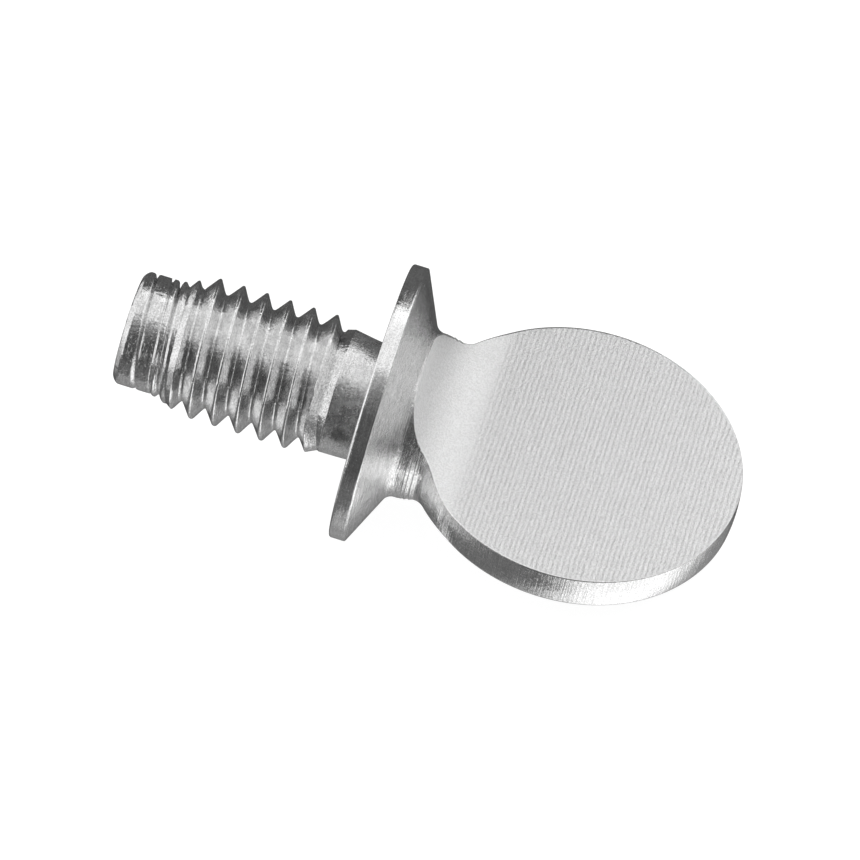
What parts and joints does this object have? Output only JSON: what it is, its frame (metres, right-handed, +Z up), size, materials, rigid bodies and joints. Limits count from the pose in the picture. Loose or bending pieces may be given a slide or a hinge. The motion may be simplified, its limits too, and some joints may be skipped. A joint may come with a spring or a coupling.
{
  "type": "thumb screw",
  "caption": "Thumb screw turned from steel: metric machine thread with a reduced point, conical collar, and a round ball end milled flat on both faces into a spade for the fingers.",
  "frame": {"origin": "on the ground under the middle of the lying screw, at the centre of its bounding box's bottom", "axes": "+Z up as the screw lies at rest on its collar and spade; +X along its length from the point to the spade; the spade's upper flat faces up and forward along +X"},
  "size_m": [0.0254, 0.0134, 0.0113],
  "materials": {
    "steel": "bright zinc plating over turned, rolled and milled steel"
  },
  "bodies": {
    "root": {"thumb_screw": "steel"}
  },
  "joints": []
}
